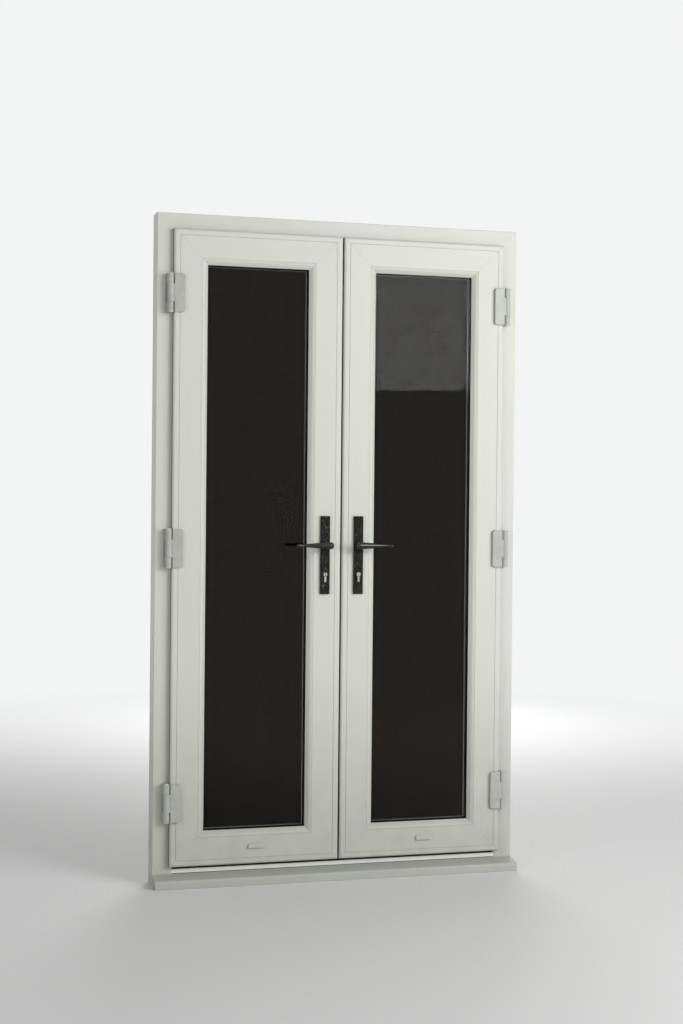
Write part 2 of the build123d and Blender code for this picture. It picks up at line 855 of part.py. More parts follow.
def build_lever(y_seat, outward):
    """Forged grip with a round neck that turns in the backplate and holds the spindle."""
    y_grip = y_seat + outward * lever_stand_off
    grip = revolve(lever_outline(), axis=Axis.X)
    lever = Pos(handle_x, y_grip, lever_z) * grip
    y_root = y_seat + outward * neck_start
    lever += rod(
        handle_x, (y_root + y_grip) / 2, lever_z, neck_radius, abs(y_grip - y_root), "Y"
    )
    y_collar = y_seat + outward * (plate_thickness + neck_collar_gap + neck_collar / 2)
    collar = rod(handle_x, y_collar, lever_z, neck_collar_radius, neck_collar, "Y")
    lever += fillet(collar.edges().filter_by(GeomType.CIRCLE), neck_collar_round)
    socket = spindle_side / 2 + spindle_play
    socket_end = y_seat + outward * (spindle_socket + free_gap)
    return lever - block(
        handle_x - socket, handle_x + socket, y_root, socket_end,
        lever_z - socket, lever_z + socket,
    )


def build_spindle():
    """Square bar that joins the two levers through the lock."""
    reach = spindle_socket
    half = spindle_side / 2
    return block(
        handle_x - half, handle_x + half, -reach, leaf_depth + reach, lever_z - half, lever_z + half
    )


def build_bolt(top):
    """Flat sliding bolt, from beside the lever's hub to just inside the leaf's end."""
    if top:
        z0, z1 = lever_z + bolt_start, body_top - bolt_tip_setback
    else:
        z0, z1 = body_bottom + bolt_tip_setback, lever_z - bolt_start
    bolt = block(
        bolt_x - bolt_thickness / 2, bolt_x + bolt_thickness / 2,
        bolt_depth - bolt_width / 2, bolt_depth + bolt_width / 2, z0, z1,
    )
    tip = bolt.edges().filter_by(Axis.X).group_by(Axis.Z)[-1 if top else 0]
    return fillet(tip, bolt_tip_radius)


def build_drain_cap(side):
    """Small hood over the drain slot, open below."""
    x = meeting_edge - drain_from_meeting[side]
    z = leaf_bottom + drain_above_edge
    low = z - drain_height / 2
    high = z + drain_height / 2
    hood = block(x - drain_width / 2, x + drain_width / 2, -drain_proud, 0, low, high)
    hood = fillet(hood.edges().filter_by(Axis.Y).group_by(Axis.Z)[-1], drain_corner)
    front = hood.faces().sort_by(Axis.Y)[0]
    hood = fillet(front.edges().group_by(Axis.Z)[-1], drain_brow)
    return hood - block(
        x - drain_width / 2 + drain_wall, x + drain_width / 2 - drain_wall,
        -drain_proud + drain_wall, 0, low - cut_over, high - drain_roof,
    )


def build_leaf(side):
    """All pieces of one leaf, built for the left side."""
    inside = leaf_depth
    return {
        "sash": build_sash(side),
        "sash_reinforcement": build_reinforcement(),
        "outer_pane": leaf_panel(unit_edge, outer_pane_front, cavity_front),
        "inner_pane": leaf_panel(unit_edge, cavity_back, inner_pane_back),
        "spacer_bar": build_spacer(),
        "glazing_gaskets": build_glazing_gaskets(),
        "glazing_beads": build_beads(),
        "leaf_gasket": build_leaf_gasket(),
        "meeting_cover": build_meeting_cover(),
        "meeting_seal": build_meeting_seal(),
        "hinge_flags": group([build_flag(z) for z in hinge_heights]),
        "hinge_bushes": group([build_bush(z) for z in hinge_heights]),
        "lock_faceplate": build_faceplate(),
        "lock_case": build_lock_case(),
        "lock_cylinder": build_cylinder(),
        "key_plug": build_key_plug(),
        "backplate_outside": build_backplate(0, -1),
        "backplate_inside": build_backplate(inside, 1),
        "lever_outside": build_lever(0, -1),
        "lever_inside": build_lever(inside, 1),
        "spindle": build_spindle(),
        "top_bolt": build_bolt(True),
        "bottom_bolt": build_bolt(False),
        "drain_cap": build_drain_cap(side),
        "hinge_brackets": group([build_bracket(z) for z in hinge_heights]),
        "hinge_pins": group([build_pin(z) for z in hinge_heights]),
    }


def build_frame_parts():
    """The fixed pieces that are not repeated for each leaf."""
    cap = build_sill_cap()
    head_z = rebate_top - keep_thickness
    return {
        "outer_frame": build_outer_frame(),
        "threshold": build_threshold(),
        "sill": build_sill(),
        "sill_end_cap_left": cap,
        "sill_end_cap_right": mirror(cap, Plane.YZ),
        "frame_gasket": build_frame_gasket(),
        "head_keeps": group([build_keep(x, head_z) for x in keep_places()]),
        "threshold_keeps": group([build_keep(x, rebate_floor) for x in keep_places()]),
    }


def build_set():
    """Every node of the door set, by name."""
    nodes = build_frame_parts()
    for name, shape in build_leaf("left").items():
        nodes[name + "_left"] = shape
    for name, shape in build_leaf("right").items():
        nodes[name + "_right"] = mirror(shape, Plane.YZ)
    return nodes


os.makedirs("parts", exist_ok=True)
for node_name, node_shape in build_set().items():
    export_step(node_shape, "parts/" + node_name + ".step")
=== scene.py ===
import math

import bmesh
import bpy
from mathutils import Matrix, Vector, noise


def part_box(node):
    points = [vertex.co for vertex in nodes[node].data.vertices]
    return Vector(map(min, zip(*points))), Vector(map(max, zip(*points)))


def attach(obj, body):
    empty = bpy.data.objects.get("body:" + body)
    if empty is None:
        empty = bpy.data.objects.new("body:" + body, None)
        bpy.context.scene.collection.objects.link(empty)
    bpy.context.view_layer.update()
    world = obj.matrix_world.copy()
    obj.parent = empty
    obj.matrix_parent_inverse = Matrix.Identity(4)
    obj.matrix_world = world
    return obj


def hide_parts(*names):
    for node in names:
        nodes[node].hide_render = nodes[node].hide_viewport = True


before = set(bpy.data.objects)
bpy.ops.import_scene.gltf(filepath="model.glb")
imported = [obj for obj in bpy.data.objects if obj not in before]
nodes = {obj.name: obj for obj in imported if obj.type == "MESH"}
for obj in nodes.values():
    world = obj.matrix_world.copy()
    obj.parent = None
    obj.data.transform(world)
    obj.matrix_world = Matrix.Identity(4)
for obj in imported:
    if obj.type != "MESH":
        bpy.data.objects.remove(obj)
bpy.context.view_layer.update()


# Camera: stands left of the doors at chest height, where the photograph was taken from.
# Place, turn and lens come from fitting the leaf corners, hinges, handles and sill.
camera_place = Vector((-1.476, -5.112, 1.207))
camera_yaw = math.radians(16.098)
camera_dip = math.radians(0.442)
camera_roll = math.radians(0.537)
long_side_px = 1024
focal_px = 1672.5
sensor_mm = 36
view_reach = 200

forward = Vector((
    math.sin(camera_yaw) * math.cos(camera_dip),
    math.cos(camera_yaw) * math.cos(camera_dip),
    -math.sin(camera_dip),
))
level_right = Vector((math.cos(camera_yaw), -math.sin(camera_yaw), 0))
level_up = level_right.cross(forward)
right = level_right * math.cos(camera_roll) + level_up * math.sin(camera_roll)
up = level_up * math.cos(camera_roll) - level_right * math.sin(camera_roll)

lens = bpy.data.cameras.new("camera")
lens.sensor_width = sensor_mm
lens.lens = focal_px / long_side_px * sensor_mm
lens.clip_end = view_reach
camera = bpy.data.objects.new("camera", lens)
camera.matrix_world = (
    Matrix.Translation(camera_place) @ Matrix((right, up, -forward)).transposed().to_4x4()
)
bpy.context.collection.objects.link(camera)
bpy.context.scene.camera = camera
bpy.context.scene.view_settings.view_transform = "Standard"


# Stage: a wide pale floor that fades into the background, under plain soft studio light.
# Two softboxes stand on the right, one of them high, with one on the left and one behind the
# doors. The high one shows in the upper part of the right-hand pane.
background = (0.90, 0.905, 0.91, 1)
white = (1, 1, 1, 1)
floor_colour = (0.72, 0.72, 0.715, 1)
floor_radius = 60.0
fade_start = 1.6
fade_end = 5.5
ambient = 0.33
light_target = Vector((0, 0, 1.25))
softboxes = {
    "high_right": {"place": (1.75, -3.6, 2.50), "size": 1.4, "power": 66.0},
    "right": {"place": (3.0, -2.9, 1.5), "size": 1.6, "power": 58.0},
    "left": {"place": (-4.0, -3.2, 1.6), "size": 2.0, "power": 42.0},
    "back": {"place": (1.5, 4.6, 1.7), "size": 2.4, "power": 130.0},
}


def add(tree, kind, values=None, **settings):
    """A shader node with its settings, and a value or a link for each named input."""
    made = tree.nodes.new("ShaderNode" + kind)
    for key, value in settings.items():
        setattr(made, key, value)
    for key, value in (values or {}).items():
        if isinstance(value, bpy.types.NodeSocket):
            tree.links.new(value, made.inputs[key])
        else:
            made.inputs[key].default_value = value
    return made


def maths(tree, operation, first, second=0.0):
    """One step of arithmetic; gives the socket that holds the result."""
    return add(tree, "Math", {0: first, 1: second}, operation=operation).outputs[0]


def spread(tree, value, low, high, out_low=0.0, out_high=1.0, smooth=False):
    """A value carried from one range to another, and held at its ends."""
    return add(
        tree, "MapRange",
        {"Value": value, "From Min": low, "From Max": high, "To Min": out_low, "To Max": out_high},
        interpolation_type="SMOOTHSTEP" if smooth else "LINEAR",
    ).outputs["Result"]


def on_object(tree):
    """Where a point lies on the doors, in metres from their origin."""
    return add(tree, "TexCoord").outputs["Object"]


def seen_directly(tree):
    """1 for what the camera, a reflection or a view through glass sees of the stage."""
    path = add(tree, "LightPath").outputs
    seen = maths(tree, "MAXIMUM", path["Is Camera Ray"], path["Is Transmission Ray"])
    return maths(tree, "MAXIMUM", seen, path["Is Glossy Ray"])


def start_material(name, values):
    """A material with its surface shader; gives the material, its tree and the shader."""
    material = bpy.data.materials.new(name)
    material.use_nodes = True
    shader = material.node_tree.nodes["Principled BSDF"]
    for key, value in values.items():
        shader.inputs[key].default_value = value
    return material, material.node_tree, shader


world = bpy.data.worlds.new("studio")
bpy.context.scene.world = world
world.use_nodes = True
sky = world.node_tree
sky.nodes.clear()
plain = add(sky, "Background", {"Color": white, "Strength": ambient}).outputs[0]
backdrop = add(sky, "Background", {"Color": background, "Strength": 1.0}).outputs[0]
chosen = add(sky, "MixShader", {0: seen_directly(sky), 1: plain, 2: backdrop})
add(sky, "OutputWorld", {"Surface": chosen.outputs[0]})

corners = [
    (x * floor_radius, y * floor_radius, 0) for x, y in ((-1, -1), (1, -1), (1, 1), (-1, 1))
]
floor_mesh = bpy.data.meshes.new("floor")
floor_mesh.from_pydata(corners, [], [(0, 1, 2, 3)])
floor = bpy.data.objects.new("floor", floor_mesh)
bpy.context.collection.objects.link(floor)
floor_paint, tree, shader = start_material(
    "floor_paint", {"Roughness": 0.9, "Base Color": floor_colour}
)
distance = add(tree, "VectorMath", {0: on_object(tree)}, operation="LENGTH").outputs["Value"]
away = spread(tree, distance, fade_start, fade_end, smooth=True)
glow = add(tree, "Emission", {"Color": background, "Strength": 1.0})
share = maths(tree, "MULTIPLY", away, seen_directly(tree))
mixed = add(tree, "MixShader", {0: share, 1: shader.outputs[0], 2: glow.outputs[0]})
tree.links.new(mixed.outputs[0], tree.nodes["Material Output"].inputs["Surface"])
floor_mesh.materials.append(floor_paint)

for name, softbox in softboxes.items():
    lamp = bpy.data.lights.new(name, "AREA")
    lamp.size = softbox["size"]
    lamp.energy = softbox["power"]
    box = bpy.data.objects.new(name, lamp)
    box.location = softbox["place"]
    box.rotation_euler = (light_target - box.location).to_track_quat("-Z", "Y").to_euler()
    box.visible_transmission = False
    bpy.context.collection.objects.link(box)


# Profiles: pale grey-green uPVC with a satin face, extruded, cut at 45 degrees and welded.
# Each corner keeps the fine trimmed line of its weld, and each face a faint lengthwise grain.
# Near the ground they are painted greyer: splash dirt and painted shade.
upvc_colour = (0.600, 0.612, 0.552, 1)
upvc_pale = (0.72, 0.73, 0.70, 1)
upvc_grain = (0.38, 0.395, 0.35, 1)
splash_and_shade_colour = (0.27, 0.275, 0.235, 1)
weld_colour = (0.17, 0.175, 0.16, 1)
pale_share = 0.10
grain_share = 0.05
weld_share = 0.42
weld_core = 0.0002
weld_edge = 0.0008
stile_grain = (900, 900, 14)
rail_grain = (14, 900, 900)
splash_and_shade_top = 0.75
splash_and_shade_full = 0.05
splash_and_shade_thin = 0.62
splash_and_shade_thick = 0.84
splash_dulls = 0.5
satin_smooth = 0.40
satin_rough = 0.50
grain_height = 0.05
weld_depth = 0.5


def blend_colours(tree, share, first, second):
    """Two colours mixed by a share."""
    mix = add(tree, "Mix", data_type="RGBA")
    for socket, value in (("Factor", share), (6, first), (7, second)):
        if isinstance(value, bpy.types.NodeSocket):
            tree.links.new(value, mix.inputs[socket])
        else:
            mix.inputs[socket].default_value = value
    return mix.outputs[2]


def noise_at(tree, place, scale, detail=2.0, roughness=0.5):
    """Even noise for one scale, or noise stretched along an axis for three."""
    if isinstance(scale, tuple):
        place = add(tree, "Mapping", {"Vector": place, "Scale": scale}).outputs["Vector"]
        scale = 1.0
    values = {"Vector": place, "Scale": scale, "Detail": detail, "Roughness": roughness}
    return add(tree, "TexNoise", values).outputs["Fac"]


def split_axes(tree, place):
    """The X, Y and Z of a point."""
    return add(tree, "SeparateXYZ", {0: place}).outputs


def emboss(tree, target, height, strength, distance):
    """A small relief in the surface, linked to the socket that takes its normal."""
    bump = add(tree, "Bump", {"Strength": strength, "Distance": distance, "Height": height})
    tree.links.new(bump.outputs["Normal"], target)


def start_group(name, inputs, outputs):
    """A node group with named sockets; gives the tree, its inputs and its output sockets."""
    group = bpy.data.node_groups.new(name, "ShaderNodeTree")
    for label, (kind, value) in inputs.items():
        socket = group.interface.new_socket(label, in_out="INPUT", socket_type="NodeSocket" + kind)
        socket.default_value = value
    for label, kind in outputs.items():
        group.interface.new_socket(label, in_out="OUTPUT", socket_type="NodeSocket" + kind)
    entry = group.nodes.new("NodeGroupInput")
    leave = group.nodes.new("NodeGroupOutput")
    return group, entry.outputs, leave.inputs


def use_group(tree, shader, group, values):
    """A group placed in a material with its own values, each output on its shader input."""
    made = add(tree, "Group")
    made.node_tree = group
    for key, value in values.items():
        made.inputs[key].default_value = value
    targets = {"Colour": "Base Color", "Roughness": "Roughness", "Normal": "Normal"}
    for label, target in targets.items():
        tree.links.new(made.outputs[label], shader.inputs[target])
    return made.outputs


finish_outputs = {"Colour": "Color", "Roughness": "Float", "Normal": "Vector"}
welded_profile, given, leave = start_group(
    "welded_profile",
    {"Colour": ("Color", upvc_colour), "Centre X": ("Float", 0.0), "Half Width": ("Float", 1.0),
     "Centre Z": ("Float", 1.0), "Half Height": ("Float", 1.0), "Splash And Shade": ("Float", 0.3)},
    finish_outputs,
)
group = welded_profile
place = on_object(group)
axes = split_axes(group, place)
off_x = maths(group, "ABSOLUTE", maths(group, "SUBTRACT", axes["X"], given["Centre X"]))
off_z = maths(group, "ABSOLUTE", maths(group, "SUBTRACT", axes["Z"], given["Centre Z"]))
from_side = maths(group, "SUBTRACT", given["Half Width"], off_x)
from_end = maths(group, "SUBTRACT", given["Half Height"], off_z)
past_mitre = maths(group, "SUBTRACT", from_side, from_end)
off_mitre = maths(group, "ABSOLUTE", past_mitre)
weld = spread(group, off_mitre, weld_core, weld_edge, 1.0, 0.0)
is_rail = spread(group, past_mitre, -weld_core, weld_core)
grain = add(
    group, "Mix",
    {"Factor": is_rail, 2: noise_at(group, place, stile_grain, 3.0),
     3: noise_at(group, place, rail_grain, 3.0)},
    data_type="FLOAT",
).outputs[0]
cloud = noise_at(group, place, 3.5, 3.0, 0.55)
spots = noise_at(group, place, 16.0, 5.0, 0.5)
# Darker towards the ground in patches: splash dirt and painted shade.
low_down = spread(group, axes["Z"], splash_and_shade_full, splash_and_shade_top, 1.0, 0.0, smooth=True)
patchy = spread(group, spots, 0.35, 0.75, splash_and_shade_thin, splash_and_shade_thick)
splash_and_shade = maths(group, "MULTIPLY", maths(group, "MULTIPLY", low_down, patchy), given["Splash And Shade"])
paler = spread(group, cloud, 0.3, 0.7, 0.0, pale_share)
lined = spread(group, grain, 0.35, 0.75, 0.0, grain_share)
colour = blend_colours(group, paler, given["Colour"], upvc_pale)
colour = blend_colours(group, lined, colour, upvc_grain)
colour = blend_colours(group, splash_and_shade, colour, splash_and_shade_colour)
colour = blend_colours(group, maths(group, "MULTIPLY", weld, weld_share), colour, weld_colour)
group.links.new(colour, leave["Colour"])
rough = spread(group, cloud, 0.3, 0.7, satin_smooth, satin_rough)
rough = maths(group, "ADD", rough, maths(group, "MULTIPLY", splash_and_shade, splash_dulls))
group.links.new(rough, leave["Roughness"])
raised = maths(group, "MULTIPLY", grain, grain_height)
sunk = maths(group, "MULTIPLY", weld, weld_depth)
emboss(group, leave["Normal"], maths(group, "SUBTRACT", raised, sunk), 0.35, 0.0004)


def profile_finish(name, colour, centre, half_size, splash_and_shade):
    """The uPVC finish, with its weld lines on the corners of one ring."""
    material, tree, shader = start_material(
        name,
        {"IOR": 1.5, "Specular IOR Level": 0.36, "Coat Weight": 0.06, "Coat Roughness": 0.3},
    )
    out = use_group(tree, shader, welded_profile, {
        "Colour": colour, "Centre X": centre[0], "Half Width": half_size[0],
        "Centre Z": centre[1], "Half Height": half_size[1], "Splash And Shade": splash_and_shade,
    })
    return material, tree, shader, out


# Outer frame: head and jambs, welded at the top corners and square on the sill below.
# The weld lines only run at the two top corners, so the ring is taken as very tall.
frame_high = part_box("outer_frame")[1]
tall_half = 5.0
frame_splash_and_shade = 0.58


def dress(material, *names):
    """Puts a finish on CAD pieces."""
    for name in names:
        for socket in nodes[name].material_slots:
            socket.material = material


frame_upvc = profile_finish(
    "frame_upvc", upvc_colour, (0.0, frame_high[2] - tall_half), (frame_high[0], tall_half),
    frame_splash_and_shade,
)[0]
dress(frame_upvc, "outer_frame")


# Threshold: a shallow member with a rounded strip in front, in a paler colour than the profiles.
# Painted shade: the drainage channel above the strip and the joint below it are painted near
# black.
threshold_colour = (0.80, 0.805, 0.775, 1)
painted_shade_black = (0.012, 0.012, 0.011, 1)
shade_setback = 0.0018
strip_top = 0.0508
joint_top = 0.0382
channel_height = 0.0255
long_run = (9.0, 0.5)
threshold_splash_and_shade = 0.22
threshold_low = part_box("threshold")[0]


def paint(tree, shader, share, first, second):
    """Gives a material two colours mixed by a share."""
    tree.links.new(blend_colours(tree, share, first, second), shader.inputs["Base Color"])


material, tree, shader, out = profile_finish(
    "threshold_upvc", threshold_colour, (0.0, 0.0), long_run, threshold_splash_and_shade
)
axes = split_axes(tree, on_object(tree))
# Painted shade: near black behind the strip's face, in the channel and the joint.
behind_face = maths(tree, "GREATER_THAN", axes["Y"], threshold_low[1] + shade_setback)
in_channel = maths(tree, "GREATER_THAN", axes["Z"], strip_top)
in_joint = maths(tree, "LESS_THAN", axes["Z"], joint_top)
below_seal = maths(tree, "LESS_THAN", axes["Z"], threshold_low[2] + channel_height)
channel_shade = maths(tree, "MULTIPLY", behind_face, maths(tree, "MAXIMUM", in_channel, in_joint))
channel_shade = maths(tree, "MULTIPLY", channel_shade, below_seal)
paint(tree, shader, channel_shade, out["Colour"], painted_shade_black)
dress(material, "threshold")


# Sill: one hollow extrusion with a rounded nose, its ends closed by glued caps.
# Its colour is darker than the frame's: splash dirt and painted shade, as on the profiles near the
# ground.
sill_colour = (0.46, 0.475, 0.445, 1)
sill_splash_and_shade = 0.42
sill_upvc = profile_finish("sill_upvc", sill_colour, (0.0, 0.0), long_run, sill_splash_and_shade)[0]
dress(sill_upvc, "sill", "sill_end_cap_left", "sill_end_cap_right")


# Leaves: welded rings of the leaf profile, with the meeting cover and the inner beads.
# The beads are four cut lengths, so their own mitres lie on the same diagonals. The back half
# of each leaf's edge is painted near black: painted shade in the joint round the leaf.
sides = ("left", "right")
leaf_splash_and_shade = 0.62
edge_reach = 0.0004
edge_shade_start = 0.005
edge_shade_full = 0.014
edge_shade_share = 0.92
for side in sides:
    leaf_low, leaf_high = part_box("sash_" + side)
    centre = (leaf_low + leaf_high) / 2
    half = (leaf_high - leaf_low) / 2
    material, tree, shader, out = profile_finish(
        "leaf_upvc_" + side, upvc_colour, (centre[0], centre[2]), (half[0], half[2]), leaf_splash_and_shade
    )
    axes = split_axes(tree, on_object(tree))
    off_edge = []
    for axis, number in (("X", 0), ("Z", 2)):
        off_centre = maths(tree, "ABSOLUTE", maths(tree, "SUBTRACT", axes[axis], centre[number]))
        off_edge.append(maths(tree, "ABSOLUTE", maths(tree, "SUBTRACT", off_centre, half[number])))
    on_edge = maths(tree, "LESS_THAN", maths(tree, "MINIMUM", *off_edge), edge_reach)
    # Painted shade: near black on the leaf's outer edge, behind the lip's front.
    deep = spread(
        tree, axes["Y"], leaf_low[1] + edge_shade_start, leaf_low[1] + edge_shade_full,
        0.0, edge_shade_share,
    )
    shade_mask = maths(tree, "MULTIPLY", on_edge, deep)
    paint(tree, shader, shade_mask, out["Colour"], painted_shade_black)
    dress(material, "sash_" + side, "glazing_beads_" + side, "meeting_cover_" + side)


# Rain caps: small moulded hoods of the same plastic, pushed over the drain slots.
# Their surface is finer and duller than the leaf's.
# The caps are darker than the leaf's plastic: splash dirt and painted shade, as on the leaf near
# the ground.
cap_colour = (0.47, 0.48, 0.43, 1)
cap_shade = (0.33, 0.34, 0.30, 1)
material, tree, shader = start_material("rain_cap_plastic", {"Roughness": 0.5, "IOR": 1.5})
speckle = noise_at(tree, on_object(tree), 1400.0)
paint(tree, shader, spread(tree, speckle, 0.35, 0.7, 0.0, 0.3), cap_colour, cap_shade)
emboss(tree, shader.inputs["Normal"], speckle, 0.2, 0.0002)
dress(material, "drain_cap_left", "drain_cap_right")


# Glass units: two panes sealed to a spacer. The outer pane is clear and faintly uneven.
# The inner pane is tinted near black: painted shade that stands for the dark room behind the
# doors.
clear_tint = (0.96, 0.96, 0.95, 1)
clear_ior = 1.145
clear_dust = 0.05
# Painted shade: the inner pane's near-black tint stands for the unlit room.
dark_tint = (0.010, 0.008, 0.006, 1)
dark_ior = 1.05
dark_dust = 0.02
dust_colour = (0.30, 0.29, 0.26, 1)
dust_full = 0.17
dust_top = 0.6
dust_above = 0.25
dust_dulls = 0.05
spacer_dark = (0.016, 0.016, 0.016, 1)
spacer_light = (0.72, 0.72, 0.69, 1)
light_part = 0.36
band_fade = 0.05


def pane_finish(name, tint, ior, dust_share):
    """Float glass: a slight wave in the surface and a thin film of dust."""
    material, tree, shader = start_material(name, {"IOR": ior, "Transmission Weight": 1.0})
    place = on_object(tree)
    film = spread(tree, noise_at(tree, place, (34, 34, 7), 5.0), 0.42, 0.8)
    low_down = spread(
        tree, split_axes(tree, place)["Z"], dust_full, dust_top, 1.0, dust_above, smooth=True
    )
    dust = maths(tree, "MULTIPLY", film, low_down)
    paint(tree, shader, maths(tree, "MULTIPLY", dust, dust_share), tint, dust_colour)
    tree.links.new(maths(tree, "MULTIPLY", dust, dust_dulls), shader.inputs["Roughness"])
    emboss(tree, shader.inputs["Normal"], noise_at(tree, place, 4.0, 1.0), 0.2, 0.0006)
    return material


clear_pane = pane_finish("clear_pane", clear_tint, clear_ior, clear_dust)
dark_pane = pane_finish("dark_pane", dark_tint, dark_ior, dark_dust)
dress(clear_pane, "outer_pane_left", "outer_pane_right")
dress(dark_pane, "inner_pane_left", "inner_pane_right")

spacer_low, spacer_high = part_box("spacer_bar_left")
light_band = light_part * (spacer_high[1] - spacer_low[1])
band_start = spacer_high[1] - (1 + band_fade) * light_band
material, tree, shader = start_material("spacer_bar_composite", {"Roughness": 0.5})
place = on_object(tree)
bare = spread(tree, split_axes(tree, place)["Y"], band_start, spacer_high[1] - light_band)
holes = spread(tree, noise_at(tree, place, 900.0), 0.45, 0.65, 0.0, 0.3)
band = blend_colours(tree, holes, spacer_light, spacer_dark)
paint(tree, shader, bare, spacer_dark, band)
dress(material, "spacer_bar_left", "spacer_bar_right")


# Seals: black extruded rubber at the glass, the frame's stop, the lip and the meeting edge.
# Their surface is matt, with a little grey bloom.
seal_colour = (0.016, 0.016, 0.016, 1)
seal_bloom = (0.06, 0.06, 0.056, 1)
material, tree, shader = start_material("seal_rubber", {"Roughness": 0.7, "IOR": 1.5})
bloom = noise_at(tree, on_object(tree), 160.0, 5.0)
paint(tree, shader, spread(tree, bloom, 0.4, 0.75, 0.0, 0.5), seal_colour, seal_bloom)
emboss(tree, shader.inputs["Normal"], bloom, 0.3, 0.0002)
dress(
    material, "frame_gasket", "glazing_gaskets_left", "glazing_gaskets_right",
    "leaf_gasket_left", "leaf_gasket_right", "meeting_seal_left", "meeting_seal_right",
)


# Hinges: die-cast flags and brackets, powder coated a shade cooler than the profiles.
# The coat has a fine orange peel and holds a little grime. Black bushes carry the pins.
hinge_colour = (0.40, 0.42, 0.385, 1)
hinge_grime = (0.21, 0.22, 0.19, 1)
nylon_colour = (0.03, 0.03, 0.03, 1)
nylon_worn = (0.06, 0.06, 0.06, 1)
material, tree, shader = start_material("hinge_coat", {"IOR": 1.5})
place = on_object(tree)
patch = noise_at(tree, place, 42.0, 5.0, 0.6)
paint(tree, shader, spread(tree, patch, 0.45, 0.8, 0.0, 0.35), hinge_colour, hinge_grime)
tree.links.new(spread(tree, patch, 0.3, 0.7, 0.36, 0.5), shader.inputs["Roughness"])
emboss(tree, shader.inputs["Normal"], noise_at(tree, place, 700.0), 0.25, 0.0002)
for side in sides:
    dress(material, "hinge_flags_" + side, "hinge_brackets_" + side)

material, tree, shader = start_material("nylon_bush", {"Roughness": 0.45})
mottle = noise_at(tree, on_object(tree), 500.0)
paint(tree, shader, mottle, nylon_colour, nylon_worn)
dress(material, "hinge_bushes_left", "hinge_bushes_right")


# Steelwork: zinc-plated channels, bolts, keeps, lock case, faceplate, spindle and pins.
# Pulled or rolled along its length, with a faint warm tarnish in the plating.
zinc_colour = (0.60, 0.60, 0.58, 1)
zinc_tarnish = (0.38, 0.36, 0.31, 1)
pulled_lines = (600, 600, 8)
drawn_metal, given, leave = start_group(
    "drawn_metal",
    {"Colour": ("Color", zinc_colour), "Tarnish": ("Color", zinc_tarnish),
     "Line Scale": ("Vector", pulled_lines), "Base Roughness": ("Float", 0.28)},
    finish_outputs,
)
group = drawn_metal
place = on_object(group)
lines = add(group, "Mapping", {"Vector": place, "Scale": given["Line Scale"]}).outputs["Vector"]
drawn = noise_at(group, lines, 1.0, 4.0)
bloom = spread(group, noise_at(group, place, 45.0, 5.0), 0.4, 0.75, 0.0, 0.8)
group.links.new(blend_colours(group, bloom, given["Colour"], given["Tarnish"]), leave["Colour"])
rough = maths(group, "ADD", given["Base Roughness"], maths(group, "MULTIPLY", drawn, 0.16))
group.links.new(rough, leave["Roughness"])
emboss(group, leave["Normal"], drawn, 0.25, 0.0001)

zinc_plate, tree, shader = start_material("zinc_plate", {"Metallic": 1.0})
use_group(tree, shader, drawn_metal, {"Colour": zinc_colour, "Tarnish": zinc_tarnish})
dress(zinc_plate, "head_keeps", "threshold_keeps")
for side in sides:
    dress(
        zinc_plate, "sash_reinforcement_" + side, "lock_faceplate_" + side, "lock_case_" + side,
        "spindle_" + side, "top_bolt_" + side, "bottom_bolt_" + side, "hinge_pins_" + side,
    )


# Keep screws: two cross-head screws hold each keep to the head or the threshold.
# Zinc-plated like the keeps, with a low bevelled head that stands just proud of the plate.
screw_radius = 0.0034
screw_height = 0.0012
screw_edge = 0.0005
recess_length = 0.0042
recess_width = 0.0010
recess_depth = 0.0009
keep_half = 0.025
keep_screw_offset = 0.017


def ring(mesh, radius, height, steps=32):
    """A circle of points at one height."""
    turns = [2 * math.pi * i / steps for i in range(steps)]
    return [mesh.verts.new((radius * math.cos(a), radius * math.sin(a), height)) for a in turns]


def walls(mesh, lower, upper):
    """Side faces between two loops with as many points."""
    for i in range(len(lower)):
        j = (i + 1) % len(lower)
        mesh.faces.new((lower[i], lower[j], upper[j], upper[i]))


def add_screw(mesh, place, turn):
    """A cross-head screw head with its base on a face and its recess sunk in the top."""
    first = len(mesh.verts)
    base = ring(mesh, screw_radius, 0.0)
    side = ring(mesh, screw_radius, screw_height - screw_edge)
    rim = ring(mesh, screw_radius - screw_edge, screw_height)
    mesh.faces.new(reversed(base))
    walls(mesh, base, side)
    walls(mesh, side, rim)
    reach, half = recess_length / 2, recess_width / 2
    corner = [(reach, -half), (reach, half), (half, half)]
    cross = []
    for quarter in range(4):
        for x, y in corner:
            for _ in range(quarter):
                x, y = -y, x
            cross.append((x, y))
    top = [mesh.verts.new((x, y, screw_height)) for x, y in cross]
    bottom = [mesh.verts.new((x, y, screw_height - recess_depth)) for x, y in cross]
    walls(mesh, top, bottom)
    mesh.faces.new(bottom)
    mesh.edges.ensure_lookup_table()
    loops = [{rim[i], rim[i - 1]} for i in range(len(rim))]
    loops += [{top[i], top[i - 1]} for i in range(len(top))]
    edges = [edge for edge in mesh.edges if set(edge.verts) in loops]
    bmesh.ops.triangle_fill(mesh, use_beauty=True, edges=edges)
    mesh.verts.ensure_lookup_table()
    bmesh.ops.transform(
        mesh, verts=mesh.verts[first:], matrix=Matrix.Translation(place) @ turn.to_4x4()
    )


def screw_set(name, places, body, material):
    """One piece that holds a few like screws, each with its place and the way that it faces."""
    mesh = bmesh.new()
    for place, facing in places:
        add_screw(mesh, place, Vector(facing).to_track_quat("Z", "Y").to_matrix())
    bmesh.ops.recalc_face_normals(mesh, faces=mesh.faces)
    data = bpy.data.meshes.new(name)
    mesh.to_mesh(data)
    mesh.free()
    piece = bpy.data.objects.new(name, data)
    bpy.context.collection.objects.link(piece)
    data.materials.append(material)
    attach(piece, body)


